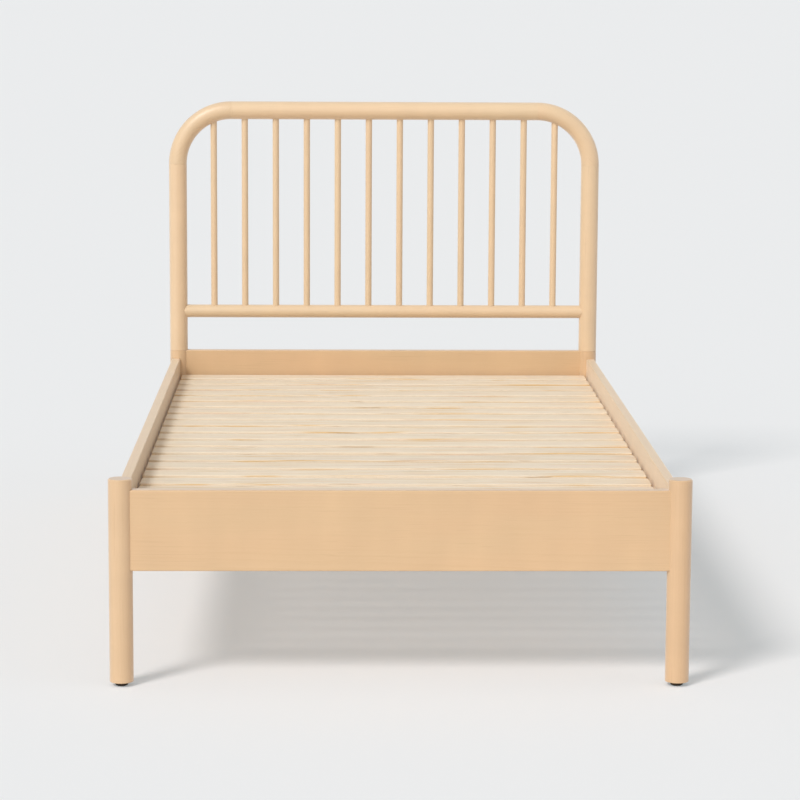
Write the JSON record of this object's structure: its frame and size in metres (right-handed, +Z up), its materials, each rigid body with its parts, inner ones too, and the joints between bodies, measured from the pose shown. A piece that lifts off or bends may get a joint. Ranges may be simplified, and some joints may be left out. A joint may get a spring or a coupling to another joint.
{
  "type": "spindle bed",
  "caption": "Single wooden bed with a round hooped headboard filled by slender spindles, low board sides and a slatted base.",
  "frame": {"origin": "on the floor under the middle of the bed's overall length and width", "axes": "+X to the right seen from the foot, +Y from the foot towards the headboard, +Z up"},
  "size_m": [1.067, 1.994, 0.985],
  "materials": {
    "hoop_wood": "clear satin lacquer on pale hardwood",
    "spindle_wood": "clear satin lacquer on pale hardwood",
    "leg_wood": "clear satin lacquer on pale hardwood",
    "board_wood": "clear satin lacquer on pale hardwood",
    "ledge_wood": "planed, unfinished",
    "slat_pine": "planed pine, unfinished",
    "glide_plastic": "moulded, matt",
    "dowel_wood": "fluted hardwood, unfinished",
    "zinc_steel": "zinc plated"
  },
  "bodies": {
    "root": {"hoop_top_rail": "hoop_wood", "hoop_corner_left": "hoop_wood", "hoop_corner_right": "hoop_wood", "hoop_post_left": "hoop_wood", "hoop_post_right": "hoop_wood", "spindle_rail": "hoop_wood", "spindle_01": "spindle_wood", "spindle_02": "spindle_wood", "spindle_03": "spindle_wood", "spindle_04": "spindle_wood", "spindle_05": "spindle_wood", "spindle_06": "spindle_wood", "spindle_07": "spindle_wood", "spindle_08": "spindle_wood", "spindle_09": "spindle_wood", "spindle_10": "spindle_wood", "spindle_11": "spindle_wood", "spindle_12": "spindle_wood", "head_leg_left": "leg_wood", "head_leg_right": "leg_wood", "foot_post_left": "leg_wood", "foot_post_right": "leg_wood", "head_rail": "board_wood", "footboard": "board_wood", "side_rail_left": "board_wood", "side_rail_right": "board_wood", "slat_ledge_left": "ledge_wood", "slat_ledge_right": "ledge_wood", "slat_01": "slat_pine", "slat_02": "slat_pine", "slat_03": "slat_pine", "slat_04": "slat_pine", "slat_05": "slat_pine", "slat_06": "slat_pine", "slat_07": "slat_pine", "slat_08": "slat_pine", "slat_09": "slat_pine", "slat_10": "slat_pine", "slat_11": "slat_pine", "slat_12": "slat_pine", "slat_13": "slat_pine", "slat_14": "slat_pine", "slat_15": "slat_pine", "slat_16": "slat_pine", "slat_17": "slat_pine", "slat_18": "slat_pine", "slat_19": "slat_pine", "slat_20": "slat_pine", "slat_21": "slat_pine", "glides": "glide_plastic", "hoop_dowels": "dowel_wood", "end_board_dowels": "dowel_wood", "side_rail_dowels": "dowel_wood", "hoop_studs": "zinc_steel", "side_rail_bolts": "zinc_steel", "side_rail_washers": "zinc_steel", "side_rail_nuts": "zinc_steel"}
  },
  "joints": []
}
